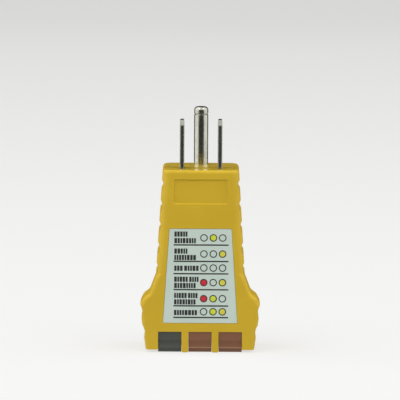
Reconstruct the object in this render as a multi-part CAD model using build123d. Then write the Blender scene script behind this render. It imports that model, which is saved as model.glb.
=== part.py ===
from build123d import *
import math
import os

os.makedirs("parts", exist_ok=True)

# Three-prong receptacle tester. Millimetres.
# Frame: +Z out of the plug face along the prongs, label side towards -Y, +X to the label's right.
# Origin: centre of the plug face.

# ---------------------------------------------------------------- plug geometry (three-wire 15 A plug)
BLADE_SPACING = 12.7      # between the two blade centres
BLADE_T = 1.5             # blade thickness, along X
BLADE_W = 6.35            # blade width, along Y
BLADE_L = 16.3            # blade above the plug face
PIN_R = 2.38              # ground pin radius
PIN_L = 19.6              # ground pin above the plug face
PIN_OFFSET = 11.9         # blade line to ground pin
PIN_NECK = 0.3            # the pin is this much slimmer inside the body
BLADE_Y = -5.5            # blade line
PIN_Y = BLADE_Y + PIN_OFFSET
BLADE_X = BLADE_SPACING / 2

# ---------------------------------------------------------------- housing
HALF_D = 13.0             # half the body's depth
WING_Y = 4.0              # rear face of the two flared wings, which are flush with the body in front
WALL = 2.0
TOP_WALL = 2.2
PART_Y = -4.5             # parting plane between the two shells
TOP_HW = 12.73            # half width at the plug face
TAPER = 0.06              # half width gained per mm going down
STEP = 0.2                # drop from the plug face to the front shell's end
EDGE_R_UP = 2.9           # long front and rear edges of the upper body
EDGE_R_LOW = 1.5          # edges of the shoulders and the lens end
TOP_R = 1.3               # edge round the plug face
FINGER_END = -60.3
MULLION_END = -61.2
BAY_TOP = -54.3
BAY_HW = 14.0             # outer edge of the side bays
MULLION_IN, MULLION_OUT = 3.86, 6.2
FLOOR_Z = -52.3           # inner face of the wall above the bays

# ---------------------------------------------------------------- small parts
PCB_Y0, PCB_Y1 = 0.2, 1.8
PCB_HW, PCB_TOP, PCB_BOT = 11.3, -17.2, -34.2
LAMP_R, LAMP_X, LAMP_Y = 2.3, 9.6, -1.6
LAMP_TIP, LAMP_TOP = -50.6, -38.6
RES_X, RES_Y = 6.0, -1.15
BOSS_R, SCREW_R, CBORE_R = 3.0, 1.1, 2.15
SEAT_Y = 4.5
SCREW_AT = [(0.0, -13.6), (-4.8, -37.4), (4.8, -37.4)]


def hw(z):
    """Half width of the tapered upper body at height z."""
    return TOP_HW - TAPER * z


def outline(pts, y):
    """Closed face in the plane Y = y from (x, z, corner radius) points."""
    n = len(pts)
    ends, arcs = [], []
    for i in range(n):
        (ax, az, _), (bx, bz, r), (cx, cz, _) = pts[i - 1], pts[i], pts[(i + 1) % n]
        if r <= 0:
            ends.append(((bx, bz), (bx, bz)))
            arcs.append(None)
            continue
        ux, uz = ax - bx, az - bz
        vx, vz = cx - bx, cz - bz
        lu, lv = math.hypot(ux, uz), math.hypot(vx, vz)
        ux, uz, vx, vz = ux / lu, uz / lu, vx / lv, vz / lv
        half = math.acos(max(-1, min(1, ux * vx + uz * vz))) / 2
        t = r / math.tan(half)
        mx, mz = ux + vx, uz + vz
        lm = math.hypot(mx, mz)
        d = r / math.sin(half)
        c = (bx + mx / lm * d, bz + mz / lm * d)
        mid = (c[0] - mx / lm * r, c[1] - mz / lm * r)
        ends.append(((bx + ux * t, bz + uz * t), (bx + vx * t, bz + vz * t)))
        arcs.append(mid)
    edges = []
    for i in range(n):
        a, b = ends[i]
        if arcs[i] is not None:
            edges.append(ThreePointArc((a[0], y, a[1]), (arcs[i][0], y, arcs[i][1]), (b[0], y, b[1])))
        nxt = ends[(i + 1) % n][0]
        if math.hypot(nxt[0] - b[0], nxt[1] - b[1]) > 1e-6:
            edges.append(Line((b[0], y, b[1]), (nxt[0], y, nxt[1])))
    return Face(Wire(edges))


def prism(pts, y0, y1):
    return extrude(outline(pts, y0), amount=y1 - y0, dir=(0, 1, 0))


def both(right):
    """Full outline from its right half, listed from the top down."""
    return right + [(-x, z, r) for x, z, r in reversed(right)]


def block(x0, x1, y0, y1, z0, z1):
    return Pos((x0 + x1) / 2, (y0 + y1) / 2, (z0 + z1) / 2) * Box(x1 - x0, y1 - y0, z1 - z0)


def rod_y(x, z, r, y0, y1):
    return Pos(x, (y0 + y1) / 2, z) * Rot(90, 0, 0) * Cylinder(r, y1 - y0)


def rod_z(x, y, r, z0, z1):
    return Pos(x, y, (z0 + z1) / 2) * Cylinder(r, z1 - z0)


def tube(points, radii, r):
    """Round wire along straight runs joined by tangent arcs."""
    path = FilletPolyline(*points, radius=radii)
    start = Plane(origin=path @ 0, z_dir=path % 0)
    return sweep(start * Circle(r), path=path)


def one(shape):
    s = shape.solids()
    assert len(s) == 1, len(s)
    return s[0]


# ================================================================= outer form
upper_side = [(hw(0), 0, 0), (hw(FINGER_END), FINGER_END, 0)]
upper = prism(both(upper_side), -HALF_D, HALF_D)
long_edges = [e for e in upper.edges() if abs(abs(e.center().Y) - HALF_D) < 1e-3 and abs(e.center().X) > 5]
upper = fillet(long_edges, EDGE_R_UP)
top_face = upper.faces().sort_by(Axis.Z)[-1]
upper = fillet(top_face.edges(), TOP_R)

lower_side = [
    (11.0, -30.5, 0),
    (14.82, -36.0, 2.0),
    (16.95, -41.6, 2.6),
    (18.85, -42.95, 2.3),
    (20.05, -45.3, 1.7),
    (19.5, -50.6, 3.0),
    (18.1, FINGER_END, 0),
]
lower = prism(both(lower_side), -HALF_D, WING_Y)
low_edges = [
    e
    for e in lower.edges()
    if min(abs(e.center().Y + HALF_D), abs(e.center().Y - WING_Y)) < 1e-3 and abs(e.center().X) > 5 and abs((e % 0.5).Y) < 0.01
]
lower = fillet(low_edges, EDGE_R_LOW)

body = upper + lower
body = one(body)
# open the end for the three lenses, then put the two mullions back
body = body - block(-BAY_HW, BAY_HW, -20, 20, -70, BAY_TOP)
for s in (-1, 1):
    m = prism(
        [
            (s * MULLION_IN, BAY_TOP + 1.5, 0),
            (s * MULLION_OUT, BAY_TOP + 1.5, 0),
            (s * (MULLION_OUT - 0.01), BAY_TOP, 0),
            (s * (MULLION_OUT - 0.05), MULLION_END, 0.5),
            (s * (MULLION_IN + 0.05), MULLION_END, 0.5),
            (s * (MULLION_IN + 0.01), BAY_TOP, 0),
        ],
        -HALF_D + 0.02,
        HALF_D - 0.02,
    )
    body = body + m
body = one(body)

# grip scallops across both side walls
NOTCHES = [
    (-5.6, hw(-5.6), 4.4, 0.72),
    (-12.3, hw(-12.3), 4.4, 0.70),
    (-19.3, hw(-19.3), 4.4, 0.70),
    (-26.4, hw(-26.4), 4.4, 0.70),
    (-33.3, hw(-33.3), 4.2, 0.70),
    (-48.0, 19.74, 4.4, 0.48),
    (-54.9, 18.95, 4.4, 0.55),
]
for z, x, w, d in NOTCHES:
    r = (w * w / 4 + d * d) / (2 * d)
    for s in (-1, 1):
        body = body - rod_y(s * (x + r - d), z, r, -20, 20)
body = one(body)
print("outer form", body.is_valid, round(body.volume, 1))

# ================================================================= cavity
core_side = [(hw(-TOP_WALL) - WALL, -TOP_WALL, 0), (hw(FLOOR_Z) - WALL, FLOOR_Z, 0)]
cav_side = [
    (hw(-TOP_WALL) - WALL, -TOP_WALL, 0),
    (hw(-34.6) - WALL, -34.6, 0),
    (13.9, -40.5, 0),
    (15.6, -43.2, 0),
    (17.6, -45.6, 0),
    (17.3, -51.0, 0),
    (17.2, FLOOR_Z, 0),
]


def grow(side, g):
    """The same right-hand outline moved outwards by g at the side walls."""
    return [(x + g, z, 0) for x, z, _ in side]


CAV_Y = HALF_D - WALL
cavity = prism(both(cav_side), -CAV_Y, WING_Y - WALL) + prism(both(core_side), -CAV_Y, CAV_Y)

TONGUE = 0.8
ring_zone = block(-30, 30, PART_Y, PART_Y + 1.0, -50.0, -4.0)
rebate_zone = block(-30, 30, PART_Y, PART_Y + 1.05, -50.1, -3.9)
tongue = (prism(both(grow(cav_side, TONGUE)), -CAV_Y, CAV_Y) - cavity) & ring_zone
rebate = (prism(both(grow(cav_side, TONGUE + 0.05)), -CAV_Y, CAV_Y) - cavity) & rebate_zone

# line round the outside where the shells meet
seam_side = [(x - 0.8, z - (0.5 if i == 0 else 0), 0) for i, (x, z, _) in enumerate(
    [(hw(0), 0, 0), (14.82, -36.0, 0), (16.95, -41.6, 0), (18.85, -42.95, 0), (19.9, -45.3, 0), (19.5, -50.6, 0), (18.1, FINGER_END, 0)])]
seam_core = prism(both(seam_side), PART_Y - 1, PART_Y + 1)
seam = block(-30, 30, PART_Y - 0.22, PART_Y, -53.0, 5) - seam_core

# ================================================================= prongs
def blade(s):
    """Flat blade: flanks tapered at the tip, edges cut back, narrow solder tail below the carrier."""
    h, w = BLADE_T / 2, BLADE_W / 2
    side = prism(
        [(-h, -10.6, 0), (-h, BLADE_L - 1.3, 0.8), (-h + 0.16, BLADE_L, 0.25), (h - 0.16, BLADE_L, 0.25), (h, BLADE_L - 1.3, 0.8), (h, -10.6, 0)],
        -10, 10)
    flat = prism(
        [(-w, -7.3, 0), (-w, BLADE_L - 1.8, 0.8), (-w + 1.1, BLADE_L, 0.4), (w - 1.1, BLADE_L, 0.4), (w, BLADE_L - 1.8, 0.8), (w, -7.3, 0),
         (1.6, -7.3, 0), (1.6, -10.6, 0.4), (-1.6, -10.6, 0.4), (-1.6, -7.3, 0)],
        -10, 10)
    b = side & (Rot(0, 0, 90) * flat)
    b = b & (Pos(0, 0, -11) * extrude(RectangleRounded(BLADE_T, BLADE_W, 0.32), amount=BLADE_L + 12))
    b = Pos(s * BLADE_X, BLADE_Y, 0) * b
    # the carrier's moulding fills this hole and locks the blade
    hole = Pos(s * BLADE_X, BLADE_Y, -4.75) * Rot(0, 90, 0) * Cylinder(1.1, 4)
    return one(b - hole)


hot_blade = blade(1)
neutral_blade = blade(-1)

TIP_R = 1.2               # rounding at the pin's end
pin_profile = [
    (PIN_R, PIN_L - TIP_R),
    (PIN_R, PIN_L - 2.28),
    (PIN_R - 0.28, PIN_L - 2.45),
    (PIN_R - 0.28, PIN_L - 2.60),
    (PIN_R, PIN_L - 2.77),
    (PIN_R, -0.15),
    (PIN_R - PIN_NECK, -0.26),
    (PIN_R - PIN_NECK, -3.9),
    (PIN_R - 0.65, -4.3),
    (PIN_R - 0.65, -5.2),
    (PIN_R - PIN_NECK, -5.6),
    (PIN_R - PIN_NECK, -7.3),
    (1.1, -7.3),
    (1.1, -10.2),
    (0, -10.2),
    (0, PIN_L),
    (PIN_R - TIP_R, PIN_L),
]
q = TIP_R * math.sin(math.pi / 4)
tip_arc = ThreePointArc((PIN_R - TIP_R, 0, PIN_L), (PIN_R - TIP_R + q, 0, PIN_L - TIP_R + q), (PIN_R, 0, PIN_L - TIP_R))
sec = Face(Wire(Polyline(*[(x, 0, z) for x, z in pin_profile]).edges() + [tip_arc]))
ground_pin = one(Pos(0, PIN_Y, 0) * revolve(sec, Axis.Z))

carrier = block(-10.5, 10.5, -10.6, 10.6, -7.3, -TOP_WALL)
carrier = fillet(carrier.edges().filter_by(Axis.Z), 0.8)
prong_carrier = one(carrier - hot_blade - neutral_blade - ground_pin)

# ================================================================= lenses
def lens(x0, x1, neck, flange):
    c = (x0 + x1) / 2
    y = HALF_D - 0.3
    b = block(x0 + 0.04, x1 - 0.04, -y, y, -61.1, BAY_TOP - 0.04)
    end = [e for e in b.edges() if abs(e.center().Z + 61.1) < 1e-3 and abs((e % 0.5).X) > 0.9]
    b = chamfer(end, 1.6, 0.8)
    b = b + block(c - neck, c + neck, -8.0, 8.0, BAY_TOP - 0.5, FLOOR_Z + 0.5)
    b = b + block(c - flange, c + flange, -9.5, 9.5, FLOOR_Z, FLOOR_Z + 1.2)
    return one(b)


SIDE_C = (MULLION_OUT + BAY_HW) / 2
left_lens = lens(-BAY_HW, -MULLION_OUT, 2.8, 3.55)
middle_lens = lens(-MULLION_IN, MULLION_IN, 2.6, 3.8)
right_lens = lens(MULLION_OUT, BAY_HW, 2.8, 3.55)

# ================================================================= screws
def screw(x, z):
    head = rod_y(x, z, 1.95, SEAT_Y, SEAT_Y + 1.3)
    rim = [e for e in head.edges() if abs(e.center().Y - (SEAT_Y + 1.3)) < 1e-3]
    head = fillet(rim, 0.7)
    shank = rod_y(x, z, SCREW_R, -9.0, SEAT_Y)
    point = Pos(x, -9.6, z) * Rot(90, 0, 0) * Cone(SCREW_R, 0.3, 1.2)
    cross = block(x - 1.1, x + 1.1, SEAT_Y + 0.5, SEAT_Y + 2, z - 0.2, z + 0.2) + block(
        x - 0.2, x + 0.2, SEAT_Y + 0.5, SEAT_Y + 2, z - 1.1, z + 1.1)
    return one(head + shank + point - cross)


case_screws = [screw(x, z) for x, z in SCREW_AT]

# ================================================================= shells
body_rear = body & block(-40, 40, PART_Y, 40, -80, 20)
body_front = body & block(-40, 40, -40, PART_Y, -80, 20)
rear = body_rear - cavity
front = body_front - cavity

# bosses
for x, z in SCREW_AT:
    rear = rear + (rod_y(x, z, BOSS_R, PART_Y, CAV_Y + 0.5) & body_rear)
    front = front + (rod_y(x, z, BOSS_R - 0.4, -CAV_Y - 0.5, PART_Y) & body_front)
# light dividers between the lamps
for s in (-1, 1):
    rear = rear + block(s * 5 - 0.6, s * 5 + 0.6, PART_Y, CAV_Y + 0.5, FLOOR_Z - 0.5, -39.0)
    front = front + block(s * 5 - 0.6, s * 5 + 0.6, -CAV_Y - 0.5, PART_Y, FLOOR_Z - 0.5, -39.0)
# lamp cradles
for x0, x1, lx in ((-12.6, -5.0, -LAMP_X), (-5.0, 5.0, 0), (5.0, 12.6, LAMP_X)):
    rear = rear + (block(x0, x1, LAMP_Y, CAV_Y + 0.5, -45.0, -43.8) - rod_z(lx, LAMP_Y, LAMP_R + 0.02, -46, -43))
    front = front + block(lx - 2.6 if lx else -4.3, lx + 2.6 if lx else 4.3, -CAV_Y - 0.5, -LAMP_R + LAMP_Y - 0.05, -45.0, -43.8)
# board posts
for s in (-1, 1):
    rear = rear + rod_y(s * 9.6, -25.5, 1.3, PCB_Y1, CAV_Y + 0.5)
    front = front + rod_y(s * 9.6, -25.5, 1.3, -CAV_Y - 0.5, PCB_Y0)
# shelves under the prong carrier
for s in (-1, 1):
    a, b = sorted((s * 8.0, s * 12.0))
    rear = rear + block(a, b, 3.0, CAV_Y + 0.5, -8.5, -7.3)
    a, b = sorted((s * 8.6, s * 12.0))
    front = front + block(a, b, -CAV_Y - 0.5, PART_Y, -8.5, -7.3)
front = front + tongue
rear = rear - rebate

# cut-outs shared by both shells
slots = []
for s in (-1, 1):
    slots.append(block(s * BLADE_X - BLADE_T / 2 - 0.04, s * BLADE_X + BLADE_T / 2 + 0.04, BLADE_Y - BLADE_W / 2 - 0.04, BLADE_Y + BLADE_W / 2 + 0.04, -TOP_WALL - 0.01, 1))
slots.append(rod_z(0, PIN_Y, PIN_R - PIN_NECK + 0.04, -TOP_WALL - 0.01, 1))
slots.append(rod_z(0, PIN_Y, PIN_R + 0.04, -0.32, 1))
for c, n in ((-SIDE_C, 2.8), (0, 2.6), (SIDE_C, 2.8)):
    slots.append(block(c - n - 0.05, c + n + 0.05, -8.05, 8.05, BAY_TOP - 1, FLOOR_Z + 0.01))
for t in slots:
    rear = rear - t
    front = front - t
for x, z in SCREW_AT:
    rear = rear - rod_y(x, z, CBORE_R, SEAT_Y, 20) - rod_y(x, z, SCREW_R + 0.15, PART_Y - 1, SEAT_Y)
    front = front - rod_y(x, z, SCREW_R, -10.3, PART_Y + 1)
front = front - seam
# the front shell's end sits just below the rear shell's, which carries the plug face
front = front - block(-30, 30, -40, PART_Y, -STEP, 5)

# blank panel and label recess in the front face
def tray(pts, slope, depth):
    """Shallow recess with sloping walls: outline pts at the surface, drawn in by slope at the floor."""
    cx = sum(x for x, _ in pts) / len(pts)
    cz = sum(z for _, z in pts) / len(pts)
    inner = [(x - math.copysign(slope, x - cx), z - math.copysign(slope, z - cz)) for x, z in pts]
    top = outline([(x, z, 0.6) for x, z in pts], -HALF_D)
    low = outline([(x, z, 0.6) for x, z in inner], -HALF_D + depth)
    return loft([top, low]) + prism([(x, z, 0.6) for x, z in pts], -HALF_D - 1, -HALF_D)


panel = tray([(-9.0, -3.15), (9.0, -3.15), (9.0, -11.5), (-9.0, -11.5)], 0.33, 0.42)
LABEL = [(-10.42, -19.6), (10.42, -19.6), (12.5, -51.4), (-12.5, -51.4)]
label_recess = prism([(x, z, 0.4) for x, z in LABEL], -HALF_D - 1, -HALF_D + 0.28)
front = front - panel - label_recess
label = prism([(x * 0.992, z + (-0.1 if z > -30 else 0.1), 0.4) for x, z in LABEL], -HALF_D + 0.08, -HALF_D + 0.28)
result_label = one(label)

rear_shell = one(rear)
front_shell = one(front)

# ================================================================= board, lamps, resistors
LEAD_R = 0.25
LEAD_Z = -32.8
WIRE_R, CORE_R = 0.8, 0.35
lamp_x = {"left": -LAMP_X, "middle": 0.0, "right": LAMP_X}
res_x = {"left": -RES_X, "middle": 0.0, "right": RES_X}

lamps, lamp_leads, resistors, res_leads = {}, {}, {}, {}
holes = []
for name, lx in lamp_x.items():
    R = LAMP_R
    outer = [
        (0, LAMP_TIP), (0.7, LAMP_TIP + 0.12), (1.5, LAMP_TIP + 0.75), (2.05, LAMP_TIP + 1.6), (R, LAMP_TIP + 2.6),
        (R, LAMP_TOP - 2.6), (1.7, LAMP_TOP - 1.6), (1.6, LAMP_TOP), (0, LAMP_TOP)]
    inner = [
        (0, LAMP_TIP + 0.8), (1.0, LAMP_TIP + 1.25), (1.55, LAMP_TIP + 2.0), (R - 0.5, LAMP_TIP + 2.9),
        (R - 0.5, LAMP_TOP - 2.9), (1.3, LAMP_TOP - 2.4), (0, LAMP_TOP - 2.3)]
    env = revolve(Face(Wire(Polyline(*[(x, 0, z) for x, z in outer], close=True))), Axis.Z)
    void = revolve(Face(Wire(Polyline(*[(x, 0, z) for x, z in inner], close=True))), Axis.Z)
    glass = Pos(lx, LAMP_Y, 0) * (env - void)
    leads = []
    for s in (-1, 1):
        x = lx + s * 0.8
        w = tube([(x, LAMP_Y, -42.0), (x, LAMP_Y, LEAD_Z), (x, 2.5, LEAD_Z)], [1.0], LEAD_R)
        el = rod_z(x, LAMP_Y, 0.42, -47.8, -41.6)
        leads.append(one(w + el))
        glass = glass - rod_z(x, LAMP_Y, LEAD_R, -41.5, LAMP_TOP + 1)
        holes.append((x, LEAD_Z, 0.4, LEAD_R))
    lamps[name] = one(glass)
    lamp_leads[name] = leads

for name, rx in res_x.items():
    z0, z1 = -29.0, -23.0
    prof = [(0, z0), (0.9, z0), (1.15, z0 + 0.25), (1.15, z0 + 1.15), (0.98, z0 + 1.5), (0.98, z1 - 1.5),
            (1.15, z1 - 1.15), (1.15, z1 - 0.25), (0.9, z1), (0, z1)]
    b = Pos(rx, RES_Y, 0) * revolve(Face(Wire(Polyline(*[(x, 0, z) for x, z in prof], close=True))), Axis.Z)
    b = b - rod_z(rx, RES_Y, LEAD_R, z0 - 0.1, z0 + 0.8) - rod_z(rx, RES_Y, LEAD_R, z1 - 0.8, z1 + 0.1)
    resistors[name] = one(b)
    ls = []
    for zb, zi, zh in ((z0, z0 + 0.8, -30.9), (z1, z1 - 0.8, -21.1)):
        ls.append(one(tube([(rx, RES_Y, zi), (rx, RES_Y, zh), (rx, 2.5, zh)], [0.8], LEAD_R)))
        holes.append((rx, zh, 0.4, LEAD_R))
    res_leads[name] = ls

# ================================================================= supply leads from the prongs to the board
wires = {}
cores = {}


def lead(name, pts, radii, skin0, skin1):
    core = one(tube(pts, radii, CORE_R))
    spts = [skin0] + pts[1:-1] + [skin1]
    skin = one(tube(spts, radii, WIRE_R))
    path = FilletPolyline(*spts, radius=radii)
    print(name, "radii", radii, "skin volume", round(skin.volume, 3), "section x length", round(math.pi * WIRE_R ** 2 * path.length, 3))
    bore = one(tube(pts, radii, CORE_R))
    wires[name] = one(skin - bore)
    cores[name] = core


def side_pts(s):
    x0, x1 = s * (BLADE_X - BLADE_T / 2 - CORE_R), s * 8.2
    return [(x0, BLADE_Y, -8.3), (x0, BLADE_Y, -12.8), (x1, -4.3, -19.2), (x1, 2.6, -19.2)], (x0, BLADE_Y, -10.9), (x1, -0.3, -19.2)


for name, s in (("hot", 1), ("neutral", -1)):
    pts, a, b = side_pts(s)
    lead(name, pts, [5.0, 2.4], a, b)
    holes.append((s * 8.2, -19.2, 0.6, CORE_R))
gpts = [(1.1, PIN_Y, -8.9), (5.0, PIN_Y, -8.9), (5.0, 5.2, -19.2), (5.0, -0.5, -19.2)]
lead("ground", gpts, [2.2, 2.2], (2.0, PIN_Y, -8.9), (5.0, 2.6, -19.2))
holes.append((5.0, -19.2, 0.6, CORE_R))

board = block(-PCB_HW, PCB_HW, PCB_Y0, PCB_Y1, PCB_BOT, PCB_TOP)
for x, z, r, _ in holes:
    board = board - rod_y(x, z, r, -1, 3)
circuit_board = one(board)

# solder fillets on the board's copper side
solder = []
for x, z, r, core in holes:
    if core == CORE_R and x == 5.0:
        c = Pos(x, PCB_Y0 - 0.25, z) * Rot(90, 0, 0) * Cone(0.95, core + 0.1, 0.5)
        solder.append(one(c - rod_y(x, z, core, -2, 3)))
        continue
    c = Pos(x, PCB_Y1 + 0.25, z) * Rot(-90, 0, 0) * Cone(0.85 if core < 0.3 else 1.0, core + 0.1, 0.5)
    solder.append(one(c - rod_y(x, z, core, 0, 4)))

# ================================================================= out
nodes = {
    "front_shell": front_shell,
    "rear_shell": rear_shell,
    "prong_carrier": prong_carrier,
    "hot_blade": hot_blade,
    "neutral_blade": neutral_blade,
    "ground_pin": ground_pin,
    "left_lens": left_lens,
    "middle_lens": middle_lens,
    "right_lens": right_lens,
    "result_label": result_label,
    "case_screws": Compound(children=case_screws),
    "circuit_board": circuit_board,
    "solder_joints": Compound(children=solder),
    "hot_lead_insulation": wires["hot"],
    "neutral_lead_insulation": wires["neutral"],
    "ground_lead_insulation": wires["ground"],
    "hot_lead_core": cores["hot"],
    "neutral_lead_core": cores["neutral"],
    "ground_lead_core": cores["ground"],
}
for n in ("left", "middle", "right"):
    nodes[n + "_lamp_glass"] = lamps[n]
    nodes[n + "_lamp_electrodes"] = Compound(children=lamp_leads[n])
    nodes[n + "_resistor"] = resistors[n]
    nodes[n + "_resistor_leads"] = Compound(children=res_leads[n])

for name, shape in nodes.items():
    export_step(shape, f"parts/{name}.step")
print(len(nodes), "nodes")
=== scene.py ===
import math
import random

import bmesh
import bpy
from mathutils import Matrix, Vector


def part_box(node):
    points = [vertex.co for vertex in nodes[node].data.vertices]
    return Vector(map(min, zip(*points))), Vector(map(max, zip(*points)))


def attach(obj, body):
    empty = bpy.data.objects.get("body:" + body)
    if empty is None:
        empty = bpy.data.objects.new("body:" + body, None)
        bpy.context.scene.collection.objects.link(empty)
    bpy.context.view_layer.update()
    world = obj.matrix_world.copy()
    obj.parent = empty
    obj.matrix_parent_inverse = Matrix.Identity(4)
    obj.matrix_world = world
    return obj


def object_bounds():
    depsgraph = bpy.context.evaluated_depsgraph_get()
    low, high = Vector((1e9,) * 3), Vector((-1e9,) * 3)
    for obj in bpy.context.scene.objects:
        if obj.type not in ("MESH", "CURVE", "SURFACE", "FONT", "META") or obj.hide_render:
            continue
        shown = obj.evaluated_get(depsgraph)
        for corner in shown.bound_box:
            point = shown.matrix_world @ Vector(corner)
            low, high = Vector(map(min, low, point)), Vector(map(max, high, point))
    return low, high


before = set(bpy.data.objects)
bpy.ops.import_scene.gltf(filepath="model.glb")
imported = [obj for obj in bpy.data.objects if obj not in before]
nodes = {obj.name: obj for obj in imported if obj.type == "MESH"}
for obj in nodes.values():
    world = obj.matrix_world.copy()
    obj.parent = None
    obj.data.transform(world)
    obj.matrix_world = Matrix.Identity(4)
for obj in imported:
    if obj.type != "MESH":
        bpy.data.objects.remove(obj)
cad_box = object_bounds()
random.seed(7)
MM = 0.001
sc = bpy.context.scene

# ------------------------------------------------------------------ camera
ELEV, ROLL = math.radians(6.1), math.radians(0.33)
TARGET = Vector((-0.25 * MM, 0, -11.4 * MM))
DIST = 1.6
cam_data = bpy.data.cameras.new("camera")
cam = bpy.data.objects.new("camera", cam_data)
sc.collection.objects.link(cam)
cam_data.type = "PERSP"
cam_data.sensor_width = 36
cam_data.lens = 36 * DIST / 0.1342
cam_data.clip_start, cam_data.clip_end = 0.05, 20
back = Vector((0, -math.cos(ELEV), math.sin(ELEV)))
cam.location = TARGET + back * DIST
cam.rotation_mode = "QUATERNION"
cam.rotation_quaternion = (-back).to_track_quat("-Z", "Y") @ Matrix.Rotation(ROLL, 4, "Z").to_quaternion()
sc.camera = cam
sc.view_settings.view_transform = "Standard"


# ------------------------------------------------------------------ node helpers
class Nodes:
    """Short ways to add shader nodes to one material."""

    def __init__(self, name):
        self.mat = bpy.data.materials.new(name)
        self.mat.use_nodes = True
        self.nt = self.mat.node_tree
        self.nt.nodes.clear()
        self.out = self.nt.nodes.new("ShaderNodeOutputMaterial")
        self.coord = self.nt.nodes.new("ShaderNodeTexCoord").outputs["Object"]

    def link(self, a, b):
        self.nt.links.new(a, b)

    def put(self, socket, value):
        if hasattr(value, "links"):
            self.link(value, socket)
        else:
            socket.default_value = value

    def mapping(self, scale=(1, 1, 1), loc=(0, 0, 0)):
        n = self.nt.nodes.new("ShaderNodeMapping")
        n.inputs["Scale"].default_value = scale
        n.inputs["Location"].default_value = loc
        self.link(self.coord, n.inputs["Vector"])
        return n.outputs[0]

    def noise(self, scale, detail=3.0, rough=0.55, distortion=0.0, vec=None):
        n = self.nt.nodes.new("ShaderNodeTexNoise")
        n.inputs["Scale"].default_value = scale
        n.inputs["Detail"].default_value = detail
        n.inputs["Roughness"].default_value = rough
        n.inputs["Distortion"].default_value = distortion
        self.link(vec or self.coord, n.inputs["Vector"])
        return n.outputs["Fac"]

    def voronoi(self, scale, feature="F1", vec=None):
        n = self.nt.nodes.new("ShaderNodeTexVoronoi")
        n.feature = feature
        n.inputs["Scale"].default_value = scale
        self.link(vec or self.coord, n.inputs["Vector"])
        return n.outputs["Distance"]

    def range(self, v, a, b, c, d, smooth=False):
        n = self.nt.nodes.new("ShaderNodeMapRange")
        if smooth:
            n.interpolation_type = "SMOOTHSTEP"
        self.put(n.inputs["Value"], v)
        for key, x in (("From Min", a), ("From Max", b), ("To Min", c), ("To Max", d)):
            n.inputs[key].default_value = x
        return n.outputs[0]

    def math(self, op, a, b=0.0, clamp=False):
        n = self.nt.nodes.new("ShaderNodeMath")
        n.operation = op
        n.use_clamp = clamp
        self.put(n.inputs[0], a)
        self.put(n.inputs[1], b)
        return n.outputs[0]

    def mix(self, fac, a, b, blend="MIX"):
        n = self.nt.nodes.new("ShaderNodeMix")
        n.data_type = "RGBA"
        n.blend_type = blend
        self.put(n.inputs[0], fac)
        self.put(n.inputs[6], (*a, 1) if isinstance(a, tuple) else a)
        self.put(n.inputs[7], (*b, 1) if isinstance(b, tuple) else b)
        return n.outputs[2]

    def bump(self, height, strength, distance, normal=None):
        n = self.nt.nodes.new("ShaderNodeBump")
        self.put(n.inputs["Strength"], strength)
        n.inputs["Distance"].default_value = distance
        self.link(height, n.inputs["Height"])
        if normal is not None:
            self.link(normal, n.inputs["Normal"])
        return n.outputs[0]

    def edge(self, radius):
        """1 on a convex or concave edge tighter than radius, 0 on flat stretches; and the softened normal."""
        b = self.nt.nodes.new("ShaderNodeBevel")
        b.samples = 4
        b.inputs["Radius"].default_value = radius
        g = self.nt.nodes.new("ShaderNodeNewGeometry")
        d = self.nt.nodes.new("ShaderNodeVectorMath")
        d.operation = "DOT_PRODUCT"
        self.link(b.outputs[0], d.inputs[0])
        self.link(g.outputs["Normal"], d.inputs[1])
        return self.range(d.outputs["Value"], 0.75, 0.98, 1.0, 0.0), b.outputs[0]

    def principled(self, **values):
        n = self.nt.nodes.new("ShaderNodeBsdfPrincipled")
        for key, v in values.items():
            key = key.replace("_", " ")
            if isinstance(v, tuple) and len(v) == 3:
                v = (*v, 1)
            self.put(n.inputs[key], v)
        self.link(n.outputs[0], self.out.inputs["Surface"])
        return n


# ------------------------------------------------------------------ materials
def plastic(name, colour, dark, light, rough=0.36, grain=0.00006, spec=0.5, coat=0.0, joint=None):
    """Moulded plastic: faint flow mottling, fine die grain, paler rubbed edges. With joint, painted seam shade with
    some grime at the plane
    Y = joint, and a polished plug face where the body is flat at the top, its colour lifted by painted light."""
    m = Nodes(name)
    flow = m.noise(55, 3, 0.5, 0.6)
    speck = m.noise(2600, 2, 0.6)
    edge, _ = m.edge(0.00022)
    _, soft = m.edge(0.00007)
    c = m.mix(m.range(flow, 0.35, 0.68, 0, 1), dark, colour)
    c = m.mix(m.math("MULTIPLY", edge, m.range(m.noise(420, 4), 0.35, 0.7, 0.1, 0.55)), c, light)
    c = m.mix(m.range(speck, 0.2, 0.8, 0.0, 0.05), c, dark)
    if joint is not None:
        split = m.nt.nodes.new("ShaderNodeSeparateXYZ")
        m.link(m.coord, split.inputs[0])
        off = m.math("ABSOLUTE", m.math("SUBTRACT", split.outputs["Y"], joint))
        # painted shade in the seam at Y = joint, with some grime: colour darkens within 0.06 mm of the plane
        c = m.mix(m.range(off, 0.00003, 0.00006, 0.6, 0.0), c, (0.13, 0.088, 0.012))
    r = m.math("ADD", m.range(m.noise(160, 4), 0.3, 0.7, rough - 0.05, rough + 0.06), m.range(speck, 0.3, 0.7, -0.02, 0.02))
    fine, broad = 0.35, 0.25
    if joint is not None:
        polish_and_painted_light = m.range(split.outputs["Z"], -0.0004, -0.00025, 0.0, 1.0)
        # painted light on the plug face: colour lifted towards the light colour; the lower roughness and smoother
        # bump are the real polish
        c = m.mix(m.math("MULTIPLY", polish_and_painted_light, 0.6), c, light)
        r = m.math("MULTIPLY", r, m.range(polish_and_painted_light, 0, 1, 1.0, 0.38))
        fine, broad = m.range(polish_and_painted_light, 0, 1, 0.35, 0.03), m.range(polish_and_painted_light, 0, 1, 0.25, 0.02)
    n = m.bump(m.noise(3800, 3, 0.6), fine, grain, soft)
    n = m.bump(m.noise(95, 2, 0.5), broad, 0.00005, n)
    m.principled(Base_Color=c, Roughness=r, Normal=n, IOR=1.5, Specular_IOR_Level=spec, Coat_Weight=coat, Coat_Roughness=0.2)
    return m.mat


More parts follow.
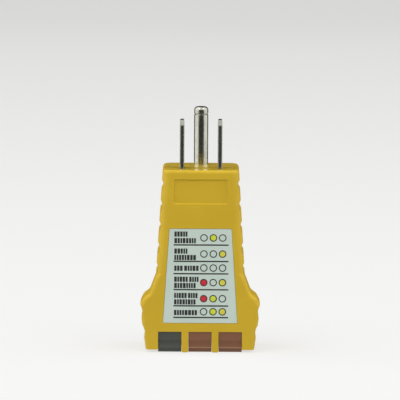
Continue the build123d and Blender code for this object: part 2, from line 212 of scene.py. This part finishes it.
def metal(name, colour, tarnish, rough=0.16, lines=(900, 900, 40), amount=0.5, worn=0.25):
    """Plated metal: drawing lines along Z, cloudy tarnish, brighter rubbed edges."""
    m = Nodes(name)
    streak = m.noise(1.0, 4, 0.6, 0, m.mapping(lines))
    cloud = m.noise(230, 4, 0.6, 0.5)
    edge, soft = m.edge(0.00012)
    c = m.mix(m.range(cloud, 0.45, 0.8, 0, amount), colour, tarnish)
    c = m.mix(m.math("MULTIPLY", edge, worn), c, tuple(min(1, x * 1.12) for x in colour))
    r = m.math("ADD", m.range(streak, 0.3, 0.75, rough - 0.06, rough + 0.08), m.range(cloud, 0.4, 0.8, 0, 0.1))
    n = m.bump(streak, 0.12, 0.00002, soft)
    m.principled(Base_Color=c, Metallic=1.0, Roughness=r, Normal=n)
    return m.mat


def clear(name, colour, deep, rough=0.08, weight=1.0, spec=0.5, painted_rim_highlight=None, low=None):
    """Tinted clear plastic: faint flow lines, fine scratches and, with the rim and low colours given, painted light
    on the lower end and a painted highlight along its bottom corner.
    """
    m = Nodes(name)
    flow = m.noise(120, 3, 0.5, 1.2)
    c = m.mix(m.range(flow, 0.35, 0.7, 0, 1), colour, deep)
    scratch = m.noise(1.0, 2, 0.6, 0, m.mapping((300, 300, 5200)))
    r = m.range(scratch, 0.35, 0.75, rough, rough + 0.1)
    _, soft = m.edge(0.0002)
    if painted_rim_highlight is not None:
        split = m.nt.nodes.new("ShaderNodeSeparateXYZ")
        m.link(m.coord, split.inputs[0])
        # painted light: below z -57 mm the lens goes to the paler low colour
        c = m.mix(m.range(split.outputs["Z"], -0.0593, -0.0570, 1.0, 0.0, smooth=True), c, low)
        # painted highlight: a bright line along the lens's bottom corner at z -59.6 mm
        off = m.math("ABSOLUTE", m.math("SUBTRACT", split.outputs["Z"], -0.0596))
        c = m.mix(m.range(off, 0.0001, 0.00024, 0.9, 0.0), c, painted_rim_highlight)
    n = m.bump(m.noise(260, 2), 0.15, 0.00005, soft)
    m.principled(Base_Color=c, Roughness=r, Normal=n, Transmission_Weight=weight, IOR=1.49, Specular_IOR_Level=spec)
    return m.mat


def film(name):
    """Laminated label stock: off-white, faint mottling and paper tooth under a satin film."""
    m = Nodes(name)
    tooth = m.noise(1900, 3, 0.6)
    cloud = m.noise(140, 4, 0.6, 0.4)
    c = m.mix(m.range(cloud, 0.35, 0.7, 0, 1), (0.575, 0.69, 0.60), (0.62, 0.72, 0.65))
    c = m.mix(m.range(tooth, 0.3, 0.75, 0.0, 0.09), c, (0.5, 0.52, 0.5))
    edge, soft = m.edge(0.0001)
    c = m.mix(m.math("MULTIPLY", edge, 0.3), c, (0.58, 0.58, 0.55))
    n = m.bump(tooth, 0.1, 0.00002, soft)
    m.principled(Base_Color=c, Roughness=m.range(cloud, 0.3, 0.7, 0.36, 0.46), Normal=n, Coat_Weight=0.15, Coat_Roughness=0.25)
    return m.mat


def ink(name, colour, light):
    """Printed ink: slightly uneven solid."""
    m = Nodes(name)
    lay = m.noise(900, 4, 0.65)
    c = m.mix(m.range(lay, 0.3, 0.75, 0, 1), colour, light)
    n = m.bump(lay, 0.08, 0.00001)
    m.principled(Base_Color=c, Roughness=m.range(lay, 0.3, 0.7, 0.35, 0.5), Normal=n)
    return m.mat


PART_Y = -4.5 * MM
YELLOW = plastic("yellow_housing", (0.655, 0.438, 0.028), (0.615, 0.407, 0.025), (0.775, 0.55, 0.045), rough=0.42, spec=0.16, joint=PART_Y)
BLACK = plastic("black_thermoset", (0.030, 0.030, 0.032), (0.020, 0.020, 0.022), (0.08, 0.08, 0.08), rough=0.5)
NICKEL = metal("nickel_plate", (0.47, 0.475, 0.405), (0.38, 0.375, 0.30), rough=0.2)
# painted shade: the blades use a darker copy of the ground pin's nickel plate
BLADE_SHADED = metal("blade_nickel_shaded", (0.395, 0.40, 0.345), (0.32, 0.315, 0.255), rough=0.22)
ZINC = metal("zinc_screw", (0.70, 0.71, 0.70), (0.52, 0.53, 0.50), rough=0.26, lines=(700, 700, 700))
# the rim and low colours are the painted highlight and painted light on the lenses' lower end
SMOKE = clear("smoke_lens", (0.104, 0.112, 0.094), (0.095, 0.101, 0.086), weight=0.5, spec=0.3, painted_rim_highlight=(0.18, 0.19, 0.165), low=(0.140, 0.150, 0.127))
AMBER = clear("amber_lens", (0.350, 0.152, 0.077), (0.308, 0.134, 0.068), weight=0.5, spec=0.3, painted_rim_highlight=(0.84, 0.47, 0.28), low=(0.40, 0.175, 0.085))
LABEL = film("label_film")
GLASS = clear("lamp_glass", (0.93, 0.94, 0.93), (0.90, 0.92, 0.91), rough=0.02)
WIRE = metal("nickel_wire", (0.60, 0.60, 0.58), (0.45, 0.44, 0.42), rough=0.3)
COPPER = metal("copper_core", (0.85, 0.46, 0.28), (0.55, 0.28, 0.16), rough=0.3)
TIN = metal("solder_tin", (0.68, 0.69, 0.70), (0.50, 0.51, 0.52), rough=0.34, lines=(500, 500, 500))
BOARD = plastic("phenolic_board", (0.22, 0.115, 0.05), (0.17, 0.085, 0.035), (0.36, 0.22, 0.11), rough=0.5)
PVC_K = plastic("black_insulation", (0.022, 0.022, 0.022), (0.016, 0.016, 0.016), (0.05, 0.05, 0.05), rough=0.42)
PVC_W = plastic("white_insulation", (0.72, 0.72, 0.69), (0.66, 0.66, 0.62), (0.8, 0.8, 0.78), rough=0.42)
PVC_G = plastic("green_insulation", (0.03, 0.21, 0.06), (0.022, 0.17, 0.045), (0.07, 0.3, 0.11), rough=0.42)
TAN = plastic("resistor_coat", (0.50, 0.34, 0.19), (0.44, 0.29, 0.155), (0.62, 0.46, 0.3), rough=0.4)

BY_NODE = {
    "front_shell": YELLOW, "rear_shell": YELLOW, "prong_carrier": BLACK,
    "hot_blade": BLADE_SHADED, "neutral_blade": BLADE_SHADED, "ground_pin": NICKEL,
    "left_lens": SMOKE, "middle_lens": AMBER, "right_lens": AMBER,
    "result_label": LABEL, "case_screws": ZINC, "circuit_board": BOARD, "solder_joints": TIN,
    "hot_lead_insulation": PVC_K, "neutral_lead_insulation": PVC_W, "ground_lead_insulation": PVC_G,
    "hot_lead_core": COPPER, "neutral_lead_core": COPPER, "ground_lead_core": COPPER,
}
for side in ("left", "middle", "right"):
    BY_NODE[side + "_lamp_glass"] = GLASS
    BY_NODE[side + "_lamp_electrodes"] = WIRE
    BY_NODE[side + "_resistor"] = TAN
    BY_NODE[side + "_resistor_leads"] = WIRE
for name, obj in nodes.items():
    obj.data.materials.clear()
    obj.data.materials.append(BY_NODE[name])


# ------------------------------------------------------------------ print on the label
LABEL_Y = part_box("result_label")[0].y
INK_T = 0.022 * MM


def add_prism(bm, pts, y0=LABEL_Y + 0.002 * MM, t=INK_T):
    """Thin closed plate over a convex outline of (x, z) points in mm, standing off the label."""
    front = [bm.verts.new((x * MM, y0 - t, z * MM)) for x, z in pts]
    rear = [bm.verts.new((x * MM, y0, z * MM)) for x, z in pts]
    bm.faces.new(front)
    bm.faces.new(rear[::-1])
    n = len(pts)
    for i in range(n):
        j = (i + 1) % n
        bm.faces.new((front[i], rear[i], rear[j], front[j]))


def rounded(x0, x1, z0, z1, r, k=4):
    pts = []
    for cx, cz, a0 in ((x1 - r, z1 - r, 0), (x0 + r, z1 - r, 90), (x0 + r, z0 + r, 180), (x1 - r, z0 + r, 270)):
        for i in range(k + 1):
            a = math.radians(a0 + 90 * i / k)
            pts.append((cx + r * math.cos(a), cz + r * math.sin(a)))
    return pts


def add_ring(bm, cx, cz, r0, r1, n=64, y0=LABEL_Y + 0.002 * MM, t=INK_T):
    rows = []
    for r, y in ((r1, y0 - t), (r0, y0 - t), (r0, y0), (r1, y0)):
        rows.append([bm.verts.new(((cx + r * math.cos(2 * math.pi * i / n)) * MM, y, (cz + r * math.sin(2 * math.pi * i / n)) * MM)) for i in range(n)])
    for k in range(4):
        a, b = rows[k], rows[(k + 1) % 4]
        for i in range(n):
            j = (i + 1) % n
            bm.faces.new((a[i], a[j], b[j], b[i]))


def add_block(bm, x0, x1, z0, z1):
    """One plain placeholder block: a rounded bar, no letter shape."""
    add_prism(bm, rounded(x0, x1, z0, z1, 0.13, 3))


def finish_mesh(bm, name, material):
    bmesh.ops.recalc_face_normals(bm, faces=bm.faces)
    me = bpy.data.meshes.new(name)
    bm.to_mesh(me)
    bm.free()
    me.materials.append(material)
    ob = bpy.data.objects.new(name, me)
    sc.collection.objects.link(ob)
    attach(ob, "root")
    return ob


INK_BLACK = ink("ink_black", (0.018, 0.018, 0.018), (0.035, 0.035, 0.035))
INK_LIME = ink("ink_lime", (0.60, 0.68, 0.035), (0.66, 0.74, 0.06))
INK_YELLOW = ink("ink_yellow", (0.66, 0.62, 0.055), (0.72, 0.68, 0.08))
INK_RED = ink("ink_red", (0.60, 0.014, 0.030), (0.68, 0.025, 0.045))

ROW_Z = [-22.7, -28.1, -32.8, -37.7, -43.1, -47.5]
COL_X = [1.15, 4.3, 7.4]
FILLS = ["oLo", "ooY", "ooo", "RoY", "RYo", "oYY"]
RULES = [-25.1, -30.6, -34.75, -40.1, -45.55, -49.45]
BLOCK_ROWS = [
    # top z, right end, number of plain blocks per group
    (-20.6, -4.35, [5]), (-22.8, -1.55, [8]),
    (-26.3, -4.35, [5]), (-28.45, -1.5, [8]),
    (-32.05, -0.6, [3, 5]),
    (-35.75, -0.6, [5, 4]), (-37.85, -1.55, [8]),
    (-41.2, -0.9, [5, 4]), (-43.35, -1.55, [8]),
    (-46.95, -1.05, [8]),
]
black, lime, yellow, red = bmesh.new(), bmesh.new(), bmesh.new(), bmesh.new()
for z, word in zip(ROW_Z, FILLS):
    for x, kind in zip(COL_X, word):
        add_ring(black, x, z, 0.92, 1.26)
        if kind != "o":
            target = red if kind == "R" else (lime if kind == "L" or x < 5 else yellow)
            add_prism(target, [(x + 0.935 * math.cos(2 * math.pi * i / 64), z + 0.935 * math.sin(2 * math.pi * i / 64)) for i in range(64)])
for z in RULES:
    add_prism(black, rounded(-8.95, 9.35, z - 0.23, z + 0.23, 0.05, 2))
rnd = random.Random(11)
for top, right, groups in BLOCK_ROWS:
    left, height = -8.7, 1.74
    widths = [[rnd.choice((0.70, 0.86, 0.96, 1.06)) for _ in range(n)] for n in groups]
    gap, space = 0.24, 0.62
    natural = sum(map(sum, widths)) + gap * sum(len(g) - 1 for g in widths) + space * (len(groups) - 1)
    k = (right - left) / natural
    x = left
    for g in widths:
        for w in g:
            add_block(black, x, x + w * k, top - height, top)
            x += (w + gap) * k
        x += (space - gap) * k
label_marks = finish_mesh(black, "label_marks_black", INK_BLACK)
label_lime = finish_mesh(lime, "label_marks_lime", INK_LIME)
label_yellow = finish_mesh(yellow, "label_marks_yellow", INK_YELLOW)
label_red = finish_mesh(red, "label_marks_red", INK_RED)


# ------------------------------------------------------------------ stage
def stage_material():
    """Plain pale ground with a faint even glow, clear from below."""
    m = bpy.data.materials.new("stage_pale")
    m.use_nodes = True
    nt = m.node_tree
    nt.nodes.clear()
    out = nt.nodes.new("ShaderNodeOutputMaterial")
    pale = nt.nodes.new("ShaderNodeBsdfDiffuse")
    pale.inputs["Color"].default_value = (0.25, 0.25, 0.248, 1)
    glow = nt.nodes.new("ShaderNodeEmission")
    glow.inputs["Color"].default_value = (1.0, 1.0, 0.99, 1)
    glow.inputs["Strength"].default_value = GLOW
    both = nt.nodes.new("ShaderNodeAddShader")
    nt.links.new(pale.outputs[0], both.inputs[0])
    nt.links.new(glow.outputs[0], both.inputs[1])
    geo = nt.nodes.new("ShaderNodeNewGeometry")
    see = nt.nodes.new("ShaderNodeBsdfTransparent")
    mix = nt.nodes.new("ShaderNodeMixShader")
    nt.links.new(geo.outputs["Backfacing"], mix.inputs[0])
    nt.links.new(both.outputs[0], mix.inputs[1])
    nt.links.new(see.outputs[0], mix.inputs[2])
    nt.links.new(mix.outputs[0], out.inputs["Surface"])
    return m


GLOW = 0.63


def make_stage():
    """Round floor that curves up into a low wall, so every side has the same pale ground."""
    z0 = cad_box[0].z
    profile = [(0.0, 0.0), (0.2, 0.0), (0.6, 0.0), (1.8, 0.0)]
    for i in range(1, 13):
        a = math.radians(90 * i / 12)
        profile.append((1.8 + 0.7 * math.sin(a), 0.7 - 0.7 * math.cos(a)))
    profile.append((2.5, 2.4))
    n = 72
    bm = bmesh.new()
    rows = []
    centre = bm.verts.new((0, 0, z0))
    for r, h in profile[1:]:
        rows.append([bm.verts.new((r * math.cos(2 * math.pi * i / n), r * math.sin(2 * math.pi * i / n), z0 + h)) for i in range(n)])
    for i in range(n):
        j = (i + 1) % n
        bm.faces.new((centre, rows[0][i], rows[0][j]))
        for a, b in zip(rows, rows[1:]):
            bm.faces.new((a[i], b[i], b[j], a[j]))
    me = bpy.data.meshes.new("stage")
    bm.to_mesh(me)
    bm.free()
    for p in me.polygons:
        p.use_smooth = True
    me.materials.append(stage_material())
    ob = bpy.data.objects.new("stage", me)
    sc.collection.objects.link(ob)
    ob.visible_glossy = False
    ob.visible_diffuse = False
    ob.visible_transmission = False
    ob.visible_shadow = False
    return ob


make_stage()


def soft_box(name, at, aim, size, power, colour=(1, 1, 1)):
    d = bpy.data.lights.new(name, "AREA")
    d.shape = "RECTANGLE"
    d.size, d.size_y = size
    d.energy = power
    d.color = colour
    o = bpy.data.objects.new(name, d)
    o.location = at
    o.rotation_mode = "QUATERNION"
    o.rotation_quaternion = (Vector(aim) - Vector(at)).to_track_quat("-Z", "Y")
    o.visible_camera = False
    sc.collection.objects.link(o)
    return o


soft_box("left_box", (-0.95, -0.35, 0.60), (0, -0.35, 0.02), (2.2, 2.0), 21.0)
soft_box("right_box", (0.95, -0.28, 0.55), (0, -0.28, 0.02), (1.92, 1.8), 15.0)
soft_box("front_box", (0.0, -1.2, 0.85), (0, 0, 0), (2.2, 1.2), 6.7)
soft_box("top_box", (0.0, -0.25, 1.30), (0, 0, 0), (1.6, 1.0), 6.6)
# bounce from the ground, kept out of the reflections; it sits under the floor, which casts no shadow
card = soft_box("ground_card", (0.0, -0.35, cad_box[0].z - 30 * MM), (0, -0.35, 1.0), (2.4, 2.0), 7.2)
card.visible_glossy = False
# the pale ground close by, seen only in reflections
near = soft_box("near_card", (0.0, 0.0, cad_box[0].z - 20 * MM), (0, 0, 1.0), (0.62, 0.62), 0.62)
near.visible_diffuse = near.visible_transmission = False
fill = soft_box("back_box", (0.0, 1.25, 0.60), (0, 0, -0.02), (2.4, 1.0), 1.8)
fill.visible_glossy = False

world = bpy.data.worlds.new("world")
sc.world = world
world.use_nodes = True
bg = world.node_tree.nodes["Background"]
bg.inputs["Color"].default_value = (0.9, 0.92, 0.95, 1)
bg.inputs["Strength"].default_value = 0.04
